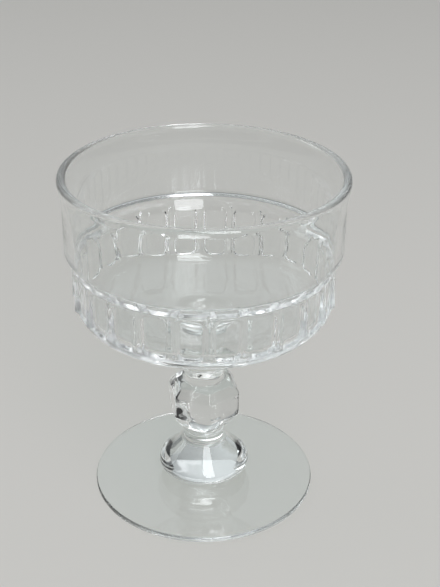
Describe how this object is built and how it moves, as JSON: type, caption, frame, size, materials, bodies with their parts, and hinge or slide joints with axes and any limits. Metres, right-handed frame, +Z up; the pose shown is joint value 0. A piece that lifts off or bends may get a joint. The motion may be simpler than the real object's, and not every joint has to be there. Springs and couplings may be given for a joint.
{
  "type": "footed coupe glass",
  "caption": "Footed coupe of clear pressed glass: straight-sided bowl with a band of windows, short faceted stem, flat round foot.",
  "frame": {"origin": "centre of the foot's underside, where the glass stands", "axes": "+Z up along the axis of the glass, -Y towards the side that the picture shows"},
  "size_m": [0.092, 0.092, 0.1156],
  "materials": {
    "clear_glass": "fire-polished clear soda-lime glass with a faint green tint where it is thick"
  },
  "bodies": {
    "root": {"bowl": "clear_glass", "stem": "clear_glass", "foot": "clear_glass"}
  },
  "joints": []
}
